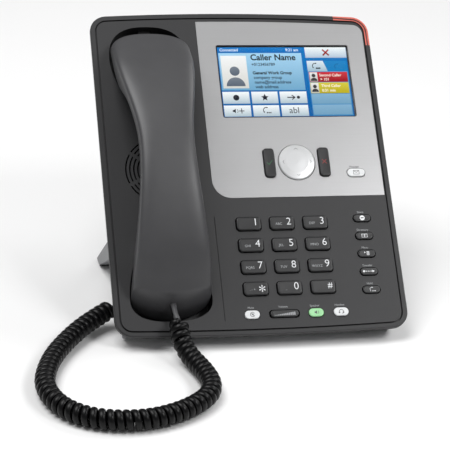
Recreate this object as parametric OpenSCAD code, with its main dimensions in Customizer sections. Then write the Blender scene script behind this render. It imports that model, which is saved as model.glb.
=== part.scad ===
// Desk IP phone with a colour touch display, a corded handset and a fold-out stand.
// Lengths in millimetres. The face is drawn flat, x across, y up the face, z out of it,
// and face() then tilts it to where it stands on the desk (desk at z = 0).

/* [Body] */
// Width of the phone
body_w = 202.6; // [200:0.2:206]
// Length of the face from its bottom edge to its top edge
body_l = 238.8; // [238:0.2:242]
// Radius of the four corners
corner_r = 12; // [8:1:14]
// Depth from the face to the flat back
body_depth = 30; // [29:0.5:32]
// Angle of the face above the desk
face_angle = 44; // [43:0.5:46]
// Height of the face's bottom edge above the desk
edge_height = 10; // [9.5:0.5:12]

/* [Keys] */
// Height of a dial key above the face
key_rise = 1.8; // [1:0.1:2.4]
// Travel of every key
key_travel = 1.2; // [0.6:0.1:1.3]
// Clearance between a key and its window
key_gap = 0.5; // [0.3:0.05:0.6]

/* [Display] */
// Width of the display window
window_w = 97.3; // [90:0.1:98]
// Height of the display window
window_h = 56; // [50:0.5:56]

/* [Handset] */
// Half width of the handset at its waist
waist_half = 18.6; // [17.4:0.2:19]
// How much wider each end is than the waist, on one side
flare = 8.6; // [7:0.2:8.6]
// Height of the handset's middle above the face
arch_top = 32.2; // [30:0.2:34]

/* [Hidden] */
$fn = 48;

// ---- shared sizes -------------------------------------------------------------------
half_w = body_w / 2;
bow_top = 2.3;
bow_bottom = 1.6;
lip_t = 2.6;
wall = 2.5;
groove_in = 3.3;
groove_out = 4.4;
groove_floor = -1.7;
wall_in = 3.8;
under_reach = 15;
foot_rise = 1.5;
eps = 0.01;
far = 400;

// The phone is moved back by this much, so that the middle of its footprint is at y = 0.
edge_break = 0.5;
top_slope = 9.5;
front_reach = edge_break * sin(face_angle);
back_reach = (body_l - top_slope) * cos(face_angle) + body_depth * sin(face_angle);
shift_y = (front_reach + back_reach) / 2;

// Cradle
cradle_x = -61.9;
backing_floor = -6.5;
backing = [-93.2, 25, -27, 215];
cap_face = -14;
rest_gap = 0.4;
well_floor = cap_face - rest_gap;
well_wall = 1.4;
ear_well = [27.7, 203, 25, 39.5];
mouth_well = [28, 27.5, 50, 16];

// Silver plate and display
plate_left = -25.8;
plate_bottom = 98.3;
plate_corner = 13;
plate_inset = 4.9;
plate_drop = 1.6;
silver_top = 0.1;
plate_bed = -1.5;
window_x = 35.65;
window_y = 186;
glass_t = 1.1;
glass_top = -0.35;
lcd_top = -1.9;
panel_size = [105, 66];
active_size = [95, 53.9];

// Call light
light_left = 76.2;
light_low = 214;

// Keys and the layers under them
flange_t = 1;
flange_w = 1.1;
key_foot = -5;
mat_top = key_foot - key_travel - 0.2;
mat_t = 1.2;
mat_box = [[-17, 13], [106, 77]];
upper_mat_box = [[4, 106], [84, 30]];
board_top = -10.4;
board_t = 1.6;
board_box = [-18, 11, 90, 228];
column_x = [-3.6, 19.9, 43.5];
row_y = [78.8, 63.3, 47.7, 32.2];
dial_size = [17.3, 9.5];
dial_r = 2.4;
function_x = 77.5;
function_y = [81.2, 68.2, 55.2, 42.2, 29.2];
function_size = [12.4, 5.2];
pill_rise = 1.1;
bottom_y = 14.2;
mute_x = -8;
volume_x = 14.4;
speaker_x = 36.5;
headset_x = 54;
pill_size = [10.4, 5.8];
rocker_size = [19.8, 5];
rocker_pivot = -4.4;
tall_size = [7.5, 21.3];
tall_r = 2.6;
ok_pos = [16.1, 123.4];
cancel_pos = [55.4, 123.6];
message_pos = [77.7, 115.2];
message_size = [12.7, 5.9];
nav_pos = [35.8, 123.7];
nav_r = 13;
nav_gap = 0.45;
nav_top = 1.9;
nav_rim_z = -0.5;
nav_floor = -1.9;
nav_pivot = -3.9;
nav_pin_r = 0.7;
// Every plain key as [x, y, size, corner radius, rise]
function dial(column, row) =
  [column_x[column], row_y[row], dial_size, dial_r, key_rise];
function function_key(row) =
  [function_x, function_y[row], function_size, function_size[1] / 2 - eps, pill_rise];
function bottom_key(x) = [x, bottom_y, pill_size, pill_size[1] / 2 - eps, pill_rise];
mute_key = bottom_key(mute_x);
speaker_key = bottom_key(speaker_x);
headset_key = bottom_key(headset_x);
ok_key = [ok_pos[0], ok_pos[1], tall_size, tall_r, key_rise];
cancel_key = [cancel_pos[0], cancel_pos[1], tall_size, tall_r, key_rise];
message_key =
  [message_pos[0], message_pos[1], message_size, message_size[1] / 2 - eps, pill_rise];
plain_keys = concat(
  [for (row = [0:3], column = [0:2]) dial(column, row)],
  [for (row = [0:4]) function_key(row)],
  [mute_key, speaker_key, headset_key, ok_key, cancel_key, message_key]
);

// Speaker behind the grille
grille_y = 119.5;
grille_r = 23.5;
grille_pitch = 2.75;
slot_w = 1;
grille_rings = 7;
grille_ribs = 6;
rib_w = 2.4;
rib_angle = 146;
speaker_r = 20;

// Fasteners, jacks and hook switch
screw_pos = [[-62, 88], [-62, 152], [61.7, 36], [82, 226], [-24, 226], [-24, 30]];
screw_r = 1.5;
screw_head_r = 2.8;
screw_tip = -5.2;
screw_seat = -27.8;
post_r = 3.8;
post_joint = -14;
jack_y = 118;
network_x = [10, 31];
network_size = [16, 13.6];
network_cavity = [11.8, 8.4];
power_x = 52;
power_size = [9, 11];
power_r = 3.2;
cord_plug = [7.6, 6.2];
cord_cavity = [8, 6.6];
cord_jack_size = [11, 8.6];
headset_jack_x = -8;
jack_depth = 13;
jack_length = 17.4;
// The handset cord's jack looks down the face into a notch at the body's lower left.
side_jack = [-78, 46, -22.8];
notch = side_jack + [6.8, 0, 4.1];
notch_wall = 2;
plunger_pos = [cradle_x, 198];
plunger_r = 3;
running_gap = 0.05;

// Stand
hinge_y = 78.6;
hinge_z = -39;
hinge_r = 7.5;
lug_r = 6.5;
pin_r = 2;
arm_out = 92.4;
arm_t = 8;
arm_in = arm_out - arm_t;
lug_t = 5;
lug_gap = 0.4;
foot_y = [126, 137.3];
pad_y = [127, 133.5];
bar_t = 9;
front_foot = [60, 24, 6];

// Cords
coil_r = 6.75;
coil_z = coil_r + 0.15;
lead_r = 1.5;
lead_gap = 0.8;
mouth_exit = [cradle_x, 21.9, 3.3];
exit_tilt = 62;
// Routes over the desk, before shift_y
coil_route = [
  [-61, -1, 23], [-60.7, -5.2, 19], [-60, -10.5, 14.5], [-58.5, -15.5, 10.5],
  [-57, -21, 8], [-54, -28, 7], [-51, -38, coil_z], [-49.5, -50, coil_z],
  [-50.5, -62, coil_z], [-55.5, -74, coil_z], [-65, -84, coil_z], [-77, -89.5, coil_z],
  [-91, -92.5, coil_z], [-106, -93, coil_z], [-121, -90.5, coil_z],
  [-135, -83.5, coil_z], [-146.5, -72, coil_z], [-153, -57, coil_z],
  [-154, -41, coil_z], [-150, -22, coil_z], [-142, -1, coil_z], [-130, 13.5, 7.5],
  [-115, 27.5, 10], [-99, 38, 13]
];

// ---- placing ------------------------------------------------------------------------
module desk() translate([0, -shift_y, 0]) children();
module face() desk() translate([0, 0, edge_height]) rotate([face_angle, 0, 0]) children();
// A point on the face, given on the desk before shift_y.
function on_desk(p) = [
  p[0],
  p[1] * cos(face_angle) - p[2] * sin(face_angle),
  edge_height + p[1] * sin(face_angle) + p[2] * cos(face_angle)
];
// A point on the desk, y and z, given in the face's y and z.
function on_face(y, z) = [
  y * cos(face_angle) + (z - edge_height) * sin(face_angle),
  (z - edge_height) * cos(face_angle) - y * sin(face_angle)
];
module slab(z0, z1) translate([0, 0, z0]) linear_extrude(z1 - z0) children();
// An outline drawn in the face's y and z, made into a bar from x0 to x1.
module bar(x0, x1) translate([x0, 0, 0]) rotate([90, 0, 90]) linear_extrude(x1 - x0) children();
// The same on both sides of the phone, from x0 to x1 away from its middle.
module both_bars(x0, x1) for (x = [x0, -x1]) bar(x, x + x1 - x0) children();
module below_desk(z) desk() translate([-far / 2, -far / 2, z - far]) cube([far, 2 * far, far]);

// ---- outlines -----------------------------------------------------------------------
// The body's outline: straight sides and bowed top and bottom edges, moved in by d.
function bow_r(bow) = (pow(half_w - corner_r, 2) + pow(bow, 2)) / (2 * bow);
function corner_lift(bow) =
  sqrt(pow(bow_r(bow) - corner_r, 2) - pow(half_w - corner_r, 2)) - bow_r(bow);
function arc_end(bow) = atan2(corner_lift(bow) + bow_r(bow), half_w - corner_r);
// One bowed edge with its two corners, from right to left, its crown at y = 0.
function bowed_edge(bow, d) = concat(
  [for (i = [0:8])
    let (a = arc_end(bow) * i / 8)
    [half_w - corner_r + (corner_r - d) * cos(a), corner_lift(bow) + (corner_r - d) * sin(a)]],
  [for (i = [1:11])
    let (a = arc_end(bow) + (180 - 2 * arc_end(bow)) * i / 12)
    [(bow_r(bow) - d) * cos(a), (bow_r(bow) - d) * sin(a) - bow_r(bow)]],
  [for (i = [8:-1:0])
    let (a = arc_end(bow) * i / 8)
    [corner_r - half_w - (corner_r - d) * cos(a), corner_lift(bow) + (corner_r - d) * sin(a)]]
);
module body_outline(d = 0) {
  polygon(concat(
    [for (p = bowed_edge(bow_top, d)) [p[0], p[1] + body_l]],
    [for (p = bowed_edge(bow_bottom, d)) [-p[0], -p[1]]]
  ));
}
module band(outer, inner) difference() {
  body_outline(outer);
  body_outline(inner);
}
module rounded_box(size, r) {
  for (x = [-1, 1], y = [-1, 1])
    translate([x * (size[0] / 2 - r), y * (size[1] / 2 - r)]) circle(r);
  square([size[0] - 2 * r, size[1]], center = true);
  square([size[0], size[1] - 2 * r], center = true);
}
// The silver plate's outline, g larger all round.
module plate_outline(g) intersection() {
  body_outline(plate_inset - g);
  translate([0, -plate_drop]) body_outline(plate_inset - g);
  union() {
    translate([plate_left - g, plate_bottom - g + plate_corner]) square(far);
    translate([plate_left - g + plate_corner, plate_bottom - g]) square(far);
    translate([plate_left - g, plate_bottom - g] + [plate_corner, plate_corner])
      circle(plate_corner);
  }
}
module light_outline(g) intersection() {
  band(-g, groove_in - 0.1 + g);
  translate([light_left - g, light_low - g]) square(far);
}
// A well's outline: half width, the y of its widest place, and its reach up and down.
module well_outline(well, g) polygon([
  for (a = [0:7.5:352.5])
    let (up = a < 180, power = (up ? well[2] : well[3]) > 30 ? 1.11 : 0.8)
    [
      cradle_x + (well[0] + g) * sign(cos(a)) * pow(abs(cos(a)), power),
      well[1] + (up ? 1 : -1) * ((up ? well[2] : well[3]) + g) * pow(abs(sin(a)), power)
    ]
]);

// ---- handset form -------------------------------------------------------------------
waist_y = 125.2;
end_low = 18.5;
end_high = 220.3;
low_zone = 5;
high_zone = 13.5;
low_reach = 109;
high_reach = 72;
top_power = 0.42;
under_power = 0.86;
ring_steps = 14;
shell_t = 2.2;
end_t = 3;
seam_gap = 0.02;
cap_t = 4.4;
cap_r = 13;
ear_cap_y = 198;
mouth_cap_y = 36;
function smooth(x) = let (t = min(max(x, 0), 1)) t * t * (3 - 2 * t);
function half_width(y) =
  waist_half + flare * smooth(abs(y - waist_y) / (y > waist_y ? high_reach : low_reach));
function arch(y) = arch_top - 33.7 * pow((y - waist_y + 2.4) / 100, 2);
// The grip is thin, and the mouth end is thicker than the ear end.
function half_thick(y) = 7.2 + (y < waist_y ? 7.4 : 2.1) * pow((y - waist_y) / 95, 2);
function underside(y) =
  let (middle = smooth(y < waist_y ? (y - 52) / 30 : (186 - y) / 30))
  (1 - middle) * (cap_face + 1.5) + middle * (arch(y) - 10);
// How far into the rounded end a station lies: 0 before the end and 1 at its tip.
function end_share(y) =
  max((end_low + low_zone - y) / low_zone, (y - end_high + high_zone) / high_zone, 0);
function width_scale(y) =
  y < waist_y ? pow(1 - pow(end_share(y), 5), 0.2) : pow(1 - pow(end_share(y), 3.3), 0.3);
function thick_scale(y) =
  y < waist_y ? pow(1 - pow(end_share(y), 6), 0.25) : pow(1 - pow(end_share(y), 5), 1 / 3);
// The ends bow outwards, and the mouth end's face leans back.
function end_bow(y) =
  y < waist_y ? 6.6 * smooth((60 - y) / 45) : -4.1 * smooth((y - 185) / 34);
function end_lean(y) = 0.45 * smooth((62 - y) / 42);
// Its top is nearly square in section, its underside nearly round.
function rounded(c, side) = sign(c) * pow(abs(c), side > 0 ? top_power : under_power);
// A point of the handset's skin at station y, t inside it, over or under the seam.
function skin_point(y, t, side, a) =
  let (
    x = (half_width(y) * width_scale(y) - t) * rounded(cos(a), side),
    tall = side > 0 ? half_thick(y) : arch(y) - underside(y),
    z = side * (tall * thick_scale(y) - t) * rounded(sin(a), side)
  )
  [cradle_x + x, y + end_bow(y) * pow(x / 27, 2) + end_lean(y) * z, arch(y) + z];
function skin_arc(y, t, side) =
  [for (i = [0:ring_steps]) skin_point(y, t, side, 180 * i / ring_steps)];
// The seam's own line at station y, for the solid ends of a shell.
function seam_line(y, t) =
  [for (i = [0:ring_steps])
    let (x = (half_width(y) * width_scale(y) - t) * cos(180 * i / ring_steps))
    [cradle_x + x, y + end_bow(y) * pow(x / 27, 2), arch(y)]];
function reversed(list) = [for (i = [len(list) - 1:-1:0]) list[i]];
stations = [
  end_low + 0.1, end_low + 0.5, end_low + 1.2, end_low + end_t, end_low + end_t + 0.4,
  25, 28, 32, 37, 44, 52, 58, 64, 70, 76, 82, 92, 104, 115, 125, 136, 147, 156, 162, 168,
  174, 180, 186, 193, 200, 205, 209, 212, 214.6, end_high - end_t - 0.4, end_high - end_t,
  end_high - 2, end_high - 1, end_high - 0.4, end_high - 0.1
];
function hollow_at(y) = y > end_low + end_t + 0.2 && y < end_high - end_t - 0.2;
function shell_ring(y, side) =
  let (
    inner = hollow_at(y) ? skin_arc(y, shell_t, side) : seam_line(y, shell_t),
    ring = [for (p = concat(skin_arc(y, 0, side), reversed(inner))) p + [0, 0, side * seam_gap]]
  )
  side > 0 ? ring : reversed(ring);
// Joins rings with the same number of points into one closed solid.
module loft(rings) {
  n = len(rings[0]);
  m = len(rings);
  polyhedron(
    points = [for (ring = rings) for (p = ring) p],
    faces = concat(
      [[for (j = [0:n - 1]) j]],
      [for (i = [0:m - 2], j = [0:n - 1])
        [i * n + j, (i + 1) * n + j, (i + 1) * n + (j + 1) % n, i * n + (j + 1) % n]],
      [[for (j = [n - 1:-1:0]) (m - 1) * n + j]]
    )
  );
}
module handset_half(side) loft([for (y = stations) shell_ring(y, side)]);
// The frame of the cord's exit in the mouth end: its z runs out along the lead.
module exit_frame() translate(mouth_exit) rotate([exit_tilt, 0, 0]) children();
function exit_point(out) =
  on_desk(mouth_exit + out * [0, -sin(exit_tilt), cos(exit_tilt)]);

// ---- cord tube ----------------------------------------------------------------------
function unit(v) = v / norm(v);
function between(a, b, c, d, t) =
  0.5 * (2 * b + (c - a) * t + (2 * a - 5 * b + 4 * c - d) * t * t
    + (3 * b - a - 3 * c + d) * t * t * t);
// The route with extra points on a smooth curve, parts per stretch.
function smooth_route(route, parts) = let (n = len(route)) concat(
  [for (i = [0:n - 2], k = [0:parts - 1])
    between(
      route[max(i - 1, 0)], route[i], route[i + 1], route[min(i + 2, n - 1)], k / parts
    )],
  [route[n - 1]]
);
module tube(route, r, sides) {
  n = len(route);
  loft([
    for (i = [0:n - 1])
      let (
        along = unit(route[min(i + 1, n - 1)] - route[max(i - 1, 0)]),
        across = unit(cross(along, [0, 0, 1])),
        up = cross(across, along)
      )
      [for (k = [0:sides - 1])
        route[i] + r * (across * cos(360 * k / sides) - up * sin(360 * k / sides))]
  ]);
}

// ---- body ---------------------------------------------------------------------------
// The rear housing's outer form, moved in by d on every side that has a wall.
module housing_form(d) difference() {
  face() intersection() {
    slab(d - body_depth, -lip_t) body_outline(wall_in + d);
    bar(-half_w, half_w) polygon([
      [wall_in + d, -lip_t], [6 + d, -14.5], [8 + d, d - body_depth],
      [body_l - top_slope - d, d - body_depth], [body_l - wall_in - d, -22],
      [body_l - wall_in - d, -lip_t]
    ]);
    rotate([-90, 0, 0]) mirror([0, 1, 0]) linear_extrude(far) polygon([
      [wall_in + d - half_w, -lip_t], [half_w - wall_in - d, -lip_t],
      [half_w - 8.3 - d, -22], [half_w - under_reach - d, d - body_depth],
      [under_reach + d - half_w, d - body_depth], [8.3 + d - half_w, -22]
    ]);
  }
  below_desk(foot_rise + d);
}
module cord_notch(g) face() translate([-far, -far, -far])
  cube(notch + [far + g, far + g, far + g]);
module at_screws() face() for (p = screw_pos) translate([p[0], p[1], 0]) children();
module jack_hole(size) translate([0, 0, -1]) linear_extrude(wall + 2)
  square(size + [0.4, 0.4], center = true);

module rear_housing() color("dimgray") {
  difference() {
    union() {
      difference() {
        housing_form(0);
        difference() {
          housing_form(wall);
          cord_notch(notch_wall);
          at_screws() slab(-body_depth, post_joint - 0.1) circle(post_r);
        }
      }
      face() hinge_lugs();
    }
    cord_notch(0);
    at_screws() {
      slab(-body_depth - 1, -lip_t) circle(screw_r + 0.2);
      slab(-body_depth - 1, screw_seat) circle(screw_head_r + 0.2);
    }
    for (x = network_x) at_back_jack(x) jack_hole(network_size);
    at_back_jack(power_x) jack_hole(power_size);
    at_back_jack(headset_jack_x) jack_hole(cord_jack_size);
    at_side_jack() jack_hole(cord_jack_size);
    for (side = [-1, 1]) at_front_foot(side) cylinder(h = 3, r = front_foot[2] + 0.1);
  }
}
module hinge_lugs() difference() {
  both_bars(arm_in - lug_gap - lug_t, arm_in - lug_gap) {
    translate([hinge_y, hinge_z]) circle(lug_r);
    polygon([
      [hinge_y - lug_r, hinge_z], [hinge_y + lug_r, hinge_z],
      [hinge_y + lug_r + 5, -body_depth + 1], [hinge_y - lug_r - 5, -body_depth + 1]
    ]);
  }
  bar(-arm_in, arm_in) translate([hinge_y, hinge_z]) circle(pin_r);
}
module at_front_foot(side) desk() translate([side * front_foot[0], front_foot[1], 0]) children();
module front_feet() color("black")
  for (side = [-1, 1]) at_front_foot(side) cylinder(h = 3, r = front_foot[2]);

module key_window(key) translate([key[0], key[1]])
  rounded_box([key[2][0] + 2 * key_gap, key[2][1] + 2 * key_gap], key[3] + key_gap);
module key_windows() {
  for (key = plain_keys) key_window(key);
  translate([volume_x, bottom_y])
    rounded_box(rocker_size + [2 * key_gap + 0.6, 2 * key_gap], rocker_size[1] / 2);
}
module grille_slots() translate([cradle_x, grille_y, backing_floor - 1]) linear_extrude(9)
  difference() {
    for (i = [0:grille_rings - 1])
      difference() {
        circle(grille_r - i * grille_pitch);
        circle(grille_r - i * grille_pitch - slot_w);
      }
    for (i = [0:grille_ribs / 2 - 1])
      rotate(rib_angle + 360 * i / grille_ribs) square([2 * grille_r + 2, rib_w], center = true);
  }

// The cradle's floor is backed over this area.
module backing_outline() translate([backing[0], backing[1]])
  square([backing[2] - backing[0], backing[3] - backing[1]]);
// Two saddles under the navigation disc, which hold its carrier's pins.
module nav_saddles() for (side = [-1, 1]) translate([nav_pos[0] + side * 11, nav_pos[1], 0])
  difference() {
    slab(nav_pivot - 1.4, -lip_t + eps) square([1.6, 4], center = true);
    translate([0, 0, nav_pivot]) rotate([0, 90, 0])
      cylinder(h = 4, r = nav_pin_r + running_gap, center = true);
  }

module front_cover() color("#3c3c3c") face() {
  difference() {
    union() {
      slab(-lip_t, -edge_break) body_outline(0);
      slab(-edge_break - eps, -0.15) body_outline(0.9);
      slab(-lip_t, 0) body_outline(groove_out);
      slab(-5, -lip_t + eps) band(wall_in + wall + 0.9, wall_in + wall + 2.5);
      slab(backing_floor, -lip_t + eps) backing_outline();
      slab(well_floor - well_wall, -1) well_outline(ear_well, well_wall);
      slab(well_floor - well_wall, -1) well_outline(mouth_well, well_wall);
      for (p = screw_pos) translate([p[0], p[1], 0]) slab(post_joint, -lip_t) circle(post_r - 0.3);
      nav_saddles();
    }
    slab(groove_floor, 1) band(groove_in, groove_out);
    slab(well_floor, 1) well_outline(ear_well, 0);
    slab(well_floor, 1) well_outline(mouth_well, 0);
    grille_slots();
    slab(plate_bed, 1) plate_outline(0.1);
    slab(-lip_t - 1, 1) light_outline(0.05);
    slab(-lip_t - 1, 1) key_windows();
    slab(-lip_t - 1, 0) {
      translate([window_x, window_y]) square(active_size + [1, 1], center = true);
      translate(nav_pos) circle(nav_r - 3);
    }
    translate([0, 0, well_floor - well_wall - 1]) linear_extrude(well_wall + 2)
      translate(plunger_pos) circle(plunger_r + 0.3);
    slab(nav_floor, 0) translate(nav_pos) circle(nav_r + nav_gap);
    for (p = screw_pos) translate([p[0], p[1], 0])
      slab(post_joint - 1, screw_tip + 0.2) circle(screw_r - 0.05);
    // Thin line moulded beside the dial keys
    slab(-0.5, 1) translate([-27.3, 10.6]) square([0.6, 74]);
  }
}
module faceplate() color("silver") face() difference() {
  slab(plate_bed, silver_top) plate_outline(0);
  slab(-3, 1) {
    translate([window_x, window_y]) rounded_box([window_w, window_h], 1.6);
    translate(nav_pos) circle(nav_r + nav_gap);
    for (key = [ok_key, cancel_key, message_key]) key_window(key);
  }
}
module light_pipe() color("red") face() {
  slab(-lip_t, -edge_break) light_outline(0);
  slab(-edge_break - eps, -0.15) intersection() {
    light_outline(0);
    body_outline(0.9);
  }
}

// ---- display ------------------------------------------------------------------------
module touch_glass() color("black") face() translate([window_x, window_y, glass_top - glass_t])
  linear_extrude(glass_t) rounded_box([window_w - 0.3, window_h - 0.3], 1.5);
module lcd_panel() color("royalblue") face() translate([window_x, window_y, 0]) {
  slab(-6.4, -lip_t - 0.1) square(panel_size, center = true);
  slab(-lip_t - 0.2, lcd_top) square(active_size + [0.4, 0.4], center = true);
}
module display_frame() color("lightsteelblue") face() translate([window_x, window_y, 0])
  difference() {
    slab(-7.6, -lip_t - 0.1) square(panel_size + [4, 4], center = true);
    slab(-6.4, 0) square(panel_size + [0.2, 0.2], center = true);
  }

// ---- inner parts --------------------------------------------------------------------
module main_board() color("seagreen") face() {
  difference() {
    slab(board_top - board_t, board_top) translate([board_box[0], board_box[1]])
      square([board_box[2] - board_box[0], board_box[3] - board_box[1]]);
    for (p = screw_pos) translate([p[0], p[1], 0]) slab(-far, 0) circle(post_r + 0.6);
  }
  // Shield cans and chips on the underside
  for (part = [[30, 60, 24, 24], [62, 70, 14, 14], [5, 80, 18, 12], [40, 170, 30, 22]])
    translate([part[0], part[1], board_top - board_t - 2.4]) linear_extrude(2.4)
      square([part[2], part[3]], center = true);
}
module key_mat() color("whitesmoke") face() {
  difference() {
    slab(board_top, board_top + mat_t) translate(mat_box[0]) square(mat_box[1]);
    for (p = screw_pos) translate([p[0], p[1], 0]) slab(-far, 0) circle(post_r + 0.6);
  }
  slab(board_top, board_top + mat_t) translate(upper_mat_box[0]) square(upper_mat_box[1]);
  for (key = plain_keys) translate([key[0], key[1], 0]) slab(board_top, mat_top) circle(2.2);
  for (side = [-1, 1]) translate([volume_x + side * 6, bottom_y, 0])
    slab(board_top, mat_top) circle(1.8);
}
module speaker_driver() color("gray") face() translate([cradle_x, grille_y, 0])
  rotate_extrude() polygon([
    [0, -22], [9, -22], [9, -17.5], [12, -16], [speaker_r - 2, -10], [speaker_r, -10],
    [speaker_r, -8.2], [speaker_r - 2.5, -8.2], [speaker_r - 5, -9], [8, -13], [0, -11]
  ]);
module speaker_retainer() color("darkslategray") face() translate([cradle_x, grille_y, 0])
  difference() {
    slab(-11.2, backing_floor) circle(speaker_r + 1.6);
    slab(-8.2, 0) circle(speaker_r - 2);
    slab(-10, -8.2 + eps) circle(speaker_r);
    slab(-12, -9.9) circle(speaker_r - 1.6);
  }
module jack_block(size, cavity) difference() {
  translate([-size[0] / 2, -size[1] / 2, 0]) cube([size[0], size[1], jack_length]);
  translate([-cavity[0] / 2, -cavity[1] / 2, -1]) cube([cavity[0], cavity[1], jack_depth + 1]);
}
// Jacks stand with their mouths at z = 0, and their backs meet the board.
module at_back_jack(x) face() translate([x, jack_y, board_top - board_t - jack_length]) children();
module at_side_jack() face() translate(side_jack) rotate([-90, 0, 0]) children();
module network_jacks() color("gainsboro") for (x = network_x) at_back_jack(x) difference() {
  jack_block(network_size, network_cavity);
  // Room for the plug's latch
  translate([-3, network_cavity[1] / 2 - 1, -1]) cube([6, 2.6, jack_depth - 2]);
}
module power_jack() color("black") at_back_jack(power_x) {
  difference() {
    translate([-power_size[0] / 2, -power_size[1] / 2, 0])
      cube([power_size[0], power_size[1], jack_length]);
    translate([0, 0, -1]) cylinder(h = 11, r = power_r);
  }
  translate([0, 0, 2]) cylinder(h = 9, r = 1);
}
module cord_jacks() color("dimgray") {
  at_back_jack(headset_jack_x) jack_block(cord_jack_size, cord_cavity);
  at_side_jack() jack_block(cord_jack_size, cord_cavity);
}
module housing_screws() color("lightgray") at_screws() {
  slab(screw_seat - 2, screw_seat) difference() {
    circle(screw_head_r);
    for (a = [0, 90]) rotate(a) square([3, 0.8], center = true);
  }
  slab(screw_seat - 0.8, screw_tip) circle(screw_r);
}
module hook_plunger() color("white") face() translate([plunger_pos[0], plunger_pos[1], 0])
  slab(-26, cap_face - 0.1) circle(plunger_r);
module hook_switch_body() color("black") face() translate([plunger_pos[0], plunger_pos[1], 0])
  difference() {
    slab(-27.4, well_floor - well_wall) square([13, 11], center = true);
    slab(-26.3, 0) circle(plunger_r + running_gap);
  }
module handset_retainer() color("#303030") face() translate([cradle_x, 224.6, 0]) {
  slab(-11, -7) translate([-4, 0]) square([8, 5]);
  slab(-8.5, -7) translate([-4, -1.4]) square([8, 2]);
}

// ---- stand --------------------------------------------------------------------------
// Corners of an arm in the face's y and z: the tip and the foot lie parallel to the desk.
arm_tip = on_face(foot_y[1], foot_rise);
arm_heel = on_face(foot_y[0], foot_rise);
module arm_side() {
  translate([hinge_y, hinge_z]) circle(hinge_r);
  polygon([
    [hinge_y + hinge_r, hinge_z], arm_tip, arm_heel, [hinge_y - hinge_r, hinge_z]
  ]);
}
module stand_frame() color("lightgray") face() {
  difference() {
    both_bars(arm_in, arm_out) arm_side();
    both_bars(arm_in - 1, arm_out + 1) translate([hinge_y, hinge_z]) circle(pin_r + running_gap);
  }
  bar(-arm_in - eps, arm_in + eps) polygon([
    on_face(foot_y[1] - 1, foot_rise + 1), on_face(foot_y[0] + 1, foot_rise + 1),
    on_face(foot_y[0] + 2, foot_rise + bar_t), on_face(foot_y[1] - 1.5, foot_rise + bar_t)
  ]);
}
module stand_feet() color("#303030") face() both_bars(arm_in + 0.6, arm_out - 1) polygon([
  on_face(pad_y[0], foot_rise), on_face(pad_y[0] + 0.5, 0),
  on_face(pad_y[1] - 0.5, 0), on_face(pad_y[1], foot_rise)
]);
module stand_pins() color("silver") face() both_bars(arm_in - lug_gap - lug_t, arm_out - 1)
  translate([hinge_y, hinge_z]) circle(pin_r);

// ---- handset ------------------------------------------------------------------------
module exit_cut() face() exit_frame() translate([-4.3, -3.6, -9]) cube([8.6, 7.2, 14]);
module grip_shell() color("#4a4a4a") difference() {
  face() handset_half(1);
  exit_cut();
}
module face_shell() color("#404040") difference() {
  face() handset_half(-1);
  exit_cut();
}
module ear_cap() color("#303030") face() translate([cradle_x, ear_cap_y, 0]) difference() {
  slab(cap_face, cap_face + cap_t) circle(cap_r);
  slab(cap_face - 1, cap_face + cap_t + 1) {
    circle(0.8);
    for (a = [0:60:300]) rotate(a) translate([4.5, 0]) circle(0.8);
    for (a = [0:30:330]) rotate(a) translate([9, 0]) circle(0.8);
  }
}
module mouth_cap() color("#303030") face() translate([cradle_x, mouth_cap_y, 0]) difference() {
  slab(cap_face, cap_face + cap_t) circle(cap_r);
  slab(cap_face - 1, cap_face + cap_t + 1) for (x = [-4, 0, 4]) translate([x, 0]) circle(0.8);
}
module earpiece_capsule() color("darkgray") face() {
  translate([cradle_x, ear_cap_y - 2, -7]) cylinder(h = 8, r = 10);
  translate([cradle_x, mouth_cap_y + 9.5, -9.4]) cylinder(h = 4.5, r = 4.5);
}
module handset_weight() color("slategray") face() translate([cradle_x, waist_y - 3, arch_top - 1.4])
  cube([18, 46, 8], center = true);
module handset_jack() color("black") face() exit_frame() translate([0, 0, -17]) difference() {
  translate([-5, -4.2, -1]) cube([10, 8.4, 12]);
  translate([-cord_cavity[0] / 2, -cord_cavity[1] / 2, 0.2])
    cube([cord_cavity[0], cord_cavity[1], 12]);
}
module plug(boot) {
  translate([-cord_plug[0] / 2, -cord_plug[1] / 2, 0]) cube([cord_plug[0], cord_plug[1], 12]);
  translate([0, 0, 12 - eps]) cylinder(h = boot, r = 2.1);
}
module handset_plug() color("gainsboro") face() exit_frame() translate([0, 0, -16]) plug(4.2);
module base_plug() color("gainsboro") at_side_jack() rotate([180, 0, 0])
  translate([0, 0, -10]) plug(2.5);

// ---- cords --------------------------------------------------------------------------
plug_back = on_desk(side_jack + [0, -4.6, 0]);
// A point a little beyond the coil's end b, coming from a.
function beyond(a, b) = b + lead_gap * unit(b - a);
coil_last = len(coil_route) - 1;
handset_route = [
  exit_point(0.3), exit_point(5), exit_point(10), beyond(coil_route[1], coil_route[0])
];
base_route = [
  beyond(coil_route[coil_last - 1], coil_route[coil_last]), on_desk([-92, 32.5, -23.4]),
  on_desk([-84.5, 36, -23.1]), on_desk([-79.2, 38.8, -22.8]), plug_back
];
module curly_cord() color("#222222") desk() tube(smooth_route(coil_route, 3), coil_r, 12);
module lead_handset() color("#222222") desk() tube(smooth_route(handset_route, 2), lead_r, 8);
module lead_base() color("#222222") desk() tube(smooth_route(base_route, 3), lead_r, 8);

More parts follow.
